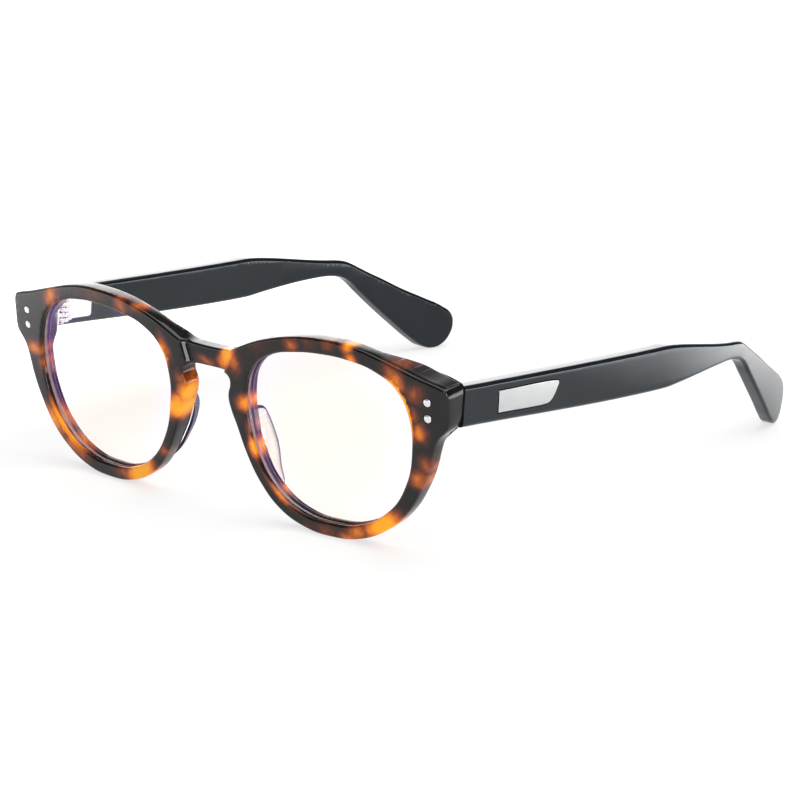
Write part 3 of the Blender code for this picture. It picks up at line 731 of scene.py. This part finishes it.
def build_front():
    outline = FRONT_OUTLINE + mirrored_loop(FRONT_OUTLINE[1:-1])
    openings = [LENS_OUTLINE, mirrored_loop(LENS_OUTLINE)]
    front = flat_solid("front_acetate", [outline] + openings, 0.0, RIM_DEPTH, EDGE_ROUND, 0.0, 7, 3)
    for opening in openings:
        groove = flat_solid(
            "groove", [opening], GROOVE_MIDDLE - GROOVE_HALF_WIDTH, GROOVE_MIDDLE + GROOVE_HALF_WIDTH,
            0.6, 0.75, 7, 0
        )
        front = combine(front, groove, "DIFFERENCE")
    cuts = [((u, 0.0, 0.0), (1.0, 0.0, 0.0)) for u in spread(-66.0, 66.0, 2.0)]
    cuts += [((0.0, v, 0.0), (0.0, 1.0, 0.0)) for v in spread(0.5, 44.5, 2.0)]
    cuts += [((0.0, v, 0.0), (0.0, 1.0, 0.0)) for v in spread(26.0, 30.0, 0.8)]
    cuts += [((u * k, 0.0, 0.0), (1.0, 0.0, 0.0)) for u in spread(55.3, 57.9, 0.52) for k in (1.0, -1.0)]
    cuts += [((0.0, 0.0, -w), (0.0, 0.0, 1.0)) for w in (1.5, 2.1, 2.8, 3.6)]
    for side in (1.0, -1.0):
        for edge in spread(4.75, 5.95, 0.24):
            cuts.append(((side * edge, 32.5, 0.0), (1.0, -0.30 * side, 0.0)))
    slice_mesh(front, cuts)
    polish(front)
    front = reshape(front, lambda u, v, w: on_front(u, v, front_relief(u, v, w)))
    for side in (1.0, -1.0):
        for height in RIVET_HEIGHTS:
            seat = RIVET_RADIUS + RIVET_SEAT_ROOM
            profile = [(0.0, 3.0), (seat, 3.0), (seat, -0.6), (0.0, -0.6)]
            hole = turned("rivet_seat", [(r * MM, z * MM) for r, z in profile], rivet_matrix(side, height))
            front = combine(front, hole, "DIFFERENCE")
    finish(front, "front", ["front_frame"], LOOK["tortoise"])


def build_lens(side):
    """Front and back surfaces in rings round the lens's centre, and a pointed edge."""
    name = "lens_pane_" + side_name(side)
    work = bmesh.new()
    painted_reflection_mask = work.verts.layers.float.new("painted_reflection_mask")
    shares = [0.12, 0.25, 0.38, 0.5, 0.6, 0.7, 0.78, 0.85, 0.91, 0.96, 1.0]
    rings = [(t, -0.13, 1.0 - LENS_BULGE * (1.0 - t * t)) for t in shares]
    rings += [(1.0, 0.0, 1.06), (1.0, 0.42, 1.55), (1.0, 0.42, 2.45), (1.0, 0.0, 2.94)]
    rings += [(t, -0.13, 3.0 - LENS_BULGE * (1.0 - t * t)) for t in reversed(shares)]
    loops = []
    for share, grow, w in rings:
        loop = []
        for x, y in LENS_LOOP:
            far = math.hypot(x, y)
            k = share * (far + grow) / far
            u, v = LENS_CENTRE[0] + x * k, LENS_CENTRE[1] + y * k
            vertex = work.verts.new(on_front(side * u, v, w))
            # Painted reflection: the film's violet reflection is made stronger towards the lens's ends and
            # its outer rings.
            vertex[painted_reflection_mask] = step((share - 0.55) / 0.45) * (abs(x) / far) ** 1.2
            loop.append(vertex)
        loops.append(loop)
    count = len(LENS_LOOP)
    for ring, (a, b) in enumerate(zip(loops, loops[1:])):
        for i in range(count):
            face = work.faces.new((a[i], a[(i + 1) % count], b[(i + 1) % count], b[i]))
            face.material_index = 1 if len(shares) <= ring + 1 <= len(shares) + 4 else 0
    for loop, w in ((loops[0], 1.0 - LENS_BULGE), (loops[-1], 3.0 - LENS_BULGE)):
        middle = work.verts.new(on_front(side * LENS_CENTRE[0], LENS_CENTRE[1], w))
        for i in range(count):
            work.faces.new((loop[i], loop[(i + 1) % count], middle))
    face_outwards(work)
    mesh = bpy.data.meshes.new(name)
    work.to_mesh(mesh)
    work.free()
    lens = finish(add_object(name, mesh), "front", ["lens_" + side_name(side)], LOOK["lens"])
    lens.data.materials.append(LOOK["lens_edge"])


def build_pad(side):
    """A nose pad: a swollen form that follows the ridge, cut where it is bonded to the rim."""
    name = "pad_" + side_name(side)
    work = bmesh.new()
    bmesh.ops.create_uvsphere(work, u_segments=48, v_segments=56, radius=1.0)
    count = len(PAD_RIDGE) - 1
    for vertex in work.verts:
        x, y, z = vertex.co
        along = (1.0 - z) / 2.0 * count
        i = min(int(along), count - 1)
        t = along - i
        before = Vector(PAD_RIDGE[max(i - 1, 0)])
        here = Vector(PAD_RIDGE[i])
        after = Vector(PAD_RIDGE[i + 1])
        last = Vector(PAD_RIDGE[min(i + 2, count)])
        spot = 0.5 * (
            2.0 * here + (after - before) * t
            + (2.0 * before - 5.0 * here + 4.0 * after - last) * t * t
            + (3.0 * here - before - 3.0 * after + last) * t ** 3
        )
        depth = RIM_DEPTH + PAD_DEPTH * (1.0 + (0.12 if z > 0.0 else 0.40) * z) * y
        u = spot.x + PAD_HALF_WIDTH * x + PAD_FLARE * max(0.0, depth - RIM_DEPTH)
        vertex.co = Vector((u, spot.y + 0.5 * x, -depth)) * MM
    bmesh.ops.bisect_plane(
        work, geom=work.verts[:] + work.edges[:] + work.faces[:], dist=1e-6,
        plane_co=Vector((0.0, 0.0, -RIM_DEPTH - 0.02)) * MM, plane_no=Vector((0.0, 0.0, 1.0)),
        clear_outer=True,
    )
    bmesh.ops.edgeloop_fill(work, edges=[edge for edge in work.edges if edge.is_boundary])
    mesh = bpy.data.meshes.new(name)
    work.to_mesh(mesh)
    work.free()
    pad = reshape(
        add_object(name, mesh),
        lambda u, v, w: on_front(side * u, v, w + front_back(u, v) - RIM_DEPTH),
    )
    finish(pad, "front", ["nose_pad_" + side_name(side)], LOOK["pad"], 40.0)


def build_rivets():
    """Four rivets with domed heads, just proud of the end pieces, and their shanks."""
    for side in (1.0, -1.0):
        for index, height in enumerate(RIVET_HEIGHTS):
            which = side_name(side) + "_" + ("upper", "lower")[index]
            dome = [(RIVET_RADIUS * math.sin(a), 0.24 * math.cos(a) - 0.02) for a in
                    [math.pi / 2.0 * i / 9 for i in range(10)]]
            length = seam_depth(side * RIVET_X, height) + 1.5
            profile = dome + [(RIVET_RADIUS, -0.3), (0.5, -0.3), (0.5, -length), (0.42, -length - 0.05),
                              (0.0, -length - 0.05)]
            rivet = turned(
                "rivet_dome_" + which, [(r * MM, z * MM) for r, z in profile], rivet_matrix(side, height)
            )
            finish(rivet, "front", ["rivet_" + which], LOOK["bright"])


# ---- Hinges -------------------------------------------------------------------------------------


def knuckle_span(index):
    middle = (index - (KNUCKLES - 1) / 2.0) * (KNUCKLE_HEIGHT + GAP)
    return middle - KNUCKLE_HEIGHT / 2.0, middle + KNUCKLE_HEIGHT / 2.0


def hinge_half(name, plate, webs, indices, side):
    """A leaf: a plate, and barrels on webs, drilled for the pin, with broken edges."""
    leaf = plate
    for index in indices:
        low, high = knuckle_span(index)
        leaf = combine(leaf, box(
            "web", (webs[0], webs[1], high - low), (webs[2], webs[3], (low + high) / 2.0)
        ), "UNION")
        leaf = combine(leaf, cylinder("barrel", KNUCKLE_RADIUS, low, high), "UNION")
    leaf = combine(leaf, cylinder("pin_hole", PIN_RADIUS + 0.05, -6.0, 6.0), "DIFFERENCE")
    bevel = leaf.modifiers.new("bevel", "BEVEL")
    bevel.width = 0.09
    bevel.segments = 2
    bevel.limit_method = "ANGLE"
    bevel.angle_limit = math.radians(40.0)
    leaf = baked(leaf, weld=1e-4)
    leaf.data.transform(hinge_matrix(side))
    turn_outwards(leaf)
    leaf.name = name
    return leaf


def build_hinge(side):
    word = side_name(side)
    body = "temple_" + word
    near = -HINGE_SETBACK + GAP
    top = knuckle_span(KNUCKLES - 1)[1]
    plate = box("plate", (4.0, 0.8, (top + 0.3) * 2.0), (0.4, near + 0.4, 0.0))
    leaf = hinge_half(
        "hinge_half_front_" + word, plate, (2.2, -near - 0.6, 0.0, (near + 0.6) / 2.0), (1, 3), side
    )
    finish(leaf, "front", ["hinge_front_leaf_" + word], LOOK["satin"])

    outer = TEMPLE_SPREAD - TEMPLE_THICKNESS - HINGE_X - GAP
    plate = box("plate", (1.2, 8.6, top * 2.0), (outer - 0.6, 6.5, 0.0))
    work = bmesh.new()
    work.from_mesh(plate.data)
    upright = [e for e in work.edges if abs(e.verts[0].co.x - e.verts[1].co.x) > 0.5]
    bmesh.ops.bevel(
        work, geom=[e for e in upright if e.verts[0].co.y > 8.0], offset=0.8, segments=6,
        affect="EDGES", profile=0.5,
    )
    work.to_mesh(plate.data)
    work.free()
    leaf = hinge_half(
        "hinge_half_temple_" + word, plate, (outer - 0.1, 3.2, (outer - 0.1) / 2.0, 1.6), (0, 2, 4), side
    )
    finish(leaf, body, ["hinge_temple_leaf_" + word], LOOK["satin"])

    head = top + GAP
    cap = [(1.2 * math.sin(a), head + 0.35 + 0.4 * math.cos(a)) for a in
           [math.pi / 2.0 * i / 8 for i in range(9)]]
    profile = cap + [(1.2, head), (PIN_RADIUS, head), (PIN_RADIUS, -head - 0.1),
                     (PIN_RADIUS - 0.2, -head - 0.3), (0.0, -head - 0.3)]
    screw = turned("hinge_pin_" + word, profile, Matrix.Identity(4))
    screw = combine(screw, box("slot", (3.0, 0.4, 0.8), (0.0, 0.0, head + 0.8)), "DIFFERENCE")
    screw.data.transform(hinge_matrix(side))
    turn_outwards(screw)
    finish(screw, "front", ["hinge_screw_" + word], LOOK["satin"])


# ---- Temples ------------------------------------------------------------------------------------


def build_temple(side):
    word = side_name(side)
    body = "temple_" + word
    temple = flat_solid(
        "temple_acetate_" + word, [TEMPLE_OUTLINE], 0.0, TEMPLE_THICKNESS, 0.9, 0.0, 8, 4
    )
    temple = combine(temple, box("trim", (0.008, 0.02, 0.01), (0.0013, 0.035, -0.002)), "DIFFERENCE")
    temple = combine(temple, flat_solid("pocket", [INLAY_OUTLINE], -1.0, 0.7, 0.0, 0.24, 6, 0), "DIFFERENCE")
    cuts = [((s, 0.0, 0.0), (1.0, 0.0, 0.0)) for s in spread(8.0, 76.0, 4.0)]
    cuts += [((s, 0.0, 0.0), (1.0, 0.0, 0.0)) for s in spread(77.0, 144.0, 1.5)]
    cuts += [((0.0, h, 0.0), (0.0, 1.0, 0.0)) for h in spread(14.0, 38.0, 3.0)]
    slice_mesh(temple, cuts)
    temple = reshape(temple, temple_place(side))
    finish(temple, body, ["temple_" + word], LOOK["black"])
    plate = flat_solid(
        "inlay_metal_" + word, [INLAY_OUTLINE], -0.1, 0.4, 0.06, 0.0, 6, 2
    )
    plate = reshape(plate, temple_place(side))
    finish(plate, body, ["inlay_plate_" + word], LOOK["plate"])


build_front()
build_rivets()
for SIDE in (1.0, -1.0):
    build_lens(SIDE)
    build_pad(SIDE)
    build_hinge(SIDE)
    build_temple(SIDE)
    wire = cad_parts["core_wire_" + side_name(SIDE)]
    wire.data.materials.clear()
    wire.data.materials.append(LOOK["satin"])

# ---- Floor, light and camera --------------------------------------------------------------------


def build_stage():
    mesh = bpy.data.meshes.new("floor")
    work = bmesh.new()
    bmesh.ops.create_grid(work, x_segments=8, y_segments=8, size=6.0)
    work.to_mesh(mesh)
    work.free()
    floor = add_object("floor", mesh)
    floor.data.materials.append(floor_material())
    for name, place, size, power in (
        ("overhead", (0.20, 0.25, 1.35), 1.6, 22.0),
        ("front", (0.45, -1.00, 0.50), 0.8, 4.6),
        ("side", (0.79, -0.25, 0.18), 0.30, 2.6),
    ):
        light = bpy.data.lights.new(name, "AREA")
        light.shape = "SQUARE"
        light.size = size
        light.energy = power
        obj = bpy.data.objects.new(name, light)
        obj.location = place
        obj.rotation_euler = (-Vector(place)).to_track_quat("-Z", "Y").to_euler()
        scene.collection.objects.link(obj)
    world = bpy.data.worlds.new("studio")
    world.use_nodes = True
    tree = world.node_tree
    split = tree.nodes.new("ShaderNodeSeparateXYZ")
    tree.links.new(tree.nodes.new("ShaderNodeTexCoord").outputs["Generated"], split.inputs[0])

    def band(axis, low, high, to_low, to_high):
        node = tree.nodes.new("ShaderNodeMapRange")
        node.interpolation_type = "SMOOTHSTEP"
        tree.links.new(split.outputs[axis], node.inputs["Value"])
        for key, value in zip(("From Min", "From Max", "To Min", "To Max"), (low, high, to_low, to_high)):
            node.inputs[key].default_value = value
        return node.outputs["Result"]

    def combined(operation, a, b):
        node = tree.nodes.new("ShaderNodeMath")
        node.operation = operation
        for socket, value in zip(node.inputs, (a, b)):
            if isinstance(value, float):
                socket.default_value = value
            else:
                tree.links.new(value, socket)
        return node.outputs[0]

    # A bright backdrop, low down and behind on the left, under a dark ceiling.
    glow = combined("MULTIPLY", band(2, 0.42, 0.66, 1.0, 0.0), band(1, -0.6, 0.75, 0.0, 2.5))
    glow = combined("MULTIPLY", glow, band(0, -0.5, -0.1, 1.0, 0.0))
    total = combined("ADD", glow, 0.10)
    tree.links.new(total, tree.nodes["Background"].inputs["Strength"])
    tree.nodes["Background"].inputs["Color"].default_value = (1.0, 1.0, 1.0, 1.0)
    scene.world = world
    scene.view_settings.view_transform = "Standard"


def build_camera():
    back = Vector((
        math.sin(CAMERA_AZIMUTH) * math.cos(CAMERA_ELEVATION),
        -math.cos(CAMERA_AZIMUTH) * math.cos(CAMERA_ELEVATION),
        math.sin(CAMERA_ELEVATION),
    ))
    camera = bpy.data.cameras.new("camera")
    camera.sensor_width = 36.0
    camera.lens = CAMERA_LENS
    obj = bpy.data.objects.new("camera", camera)
    turn = back.to_track_quat("Z", "Y").to_matrix().to_4x4() @ Matrix.Rotation(CAMERA_ROLL, 4, "Z")
    obj.matrix_world = Matrix.Translation(CAMERA_TARGET + back * CAMERA_DISTANCE) @ turn
    scene.collection.objects.link(obj)
    scene.camera = obj


build_stage()
build_camera()
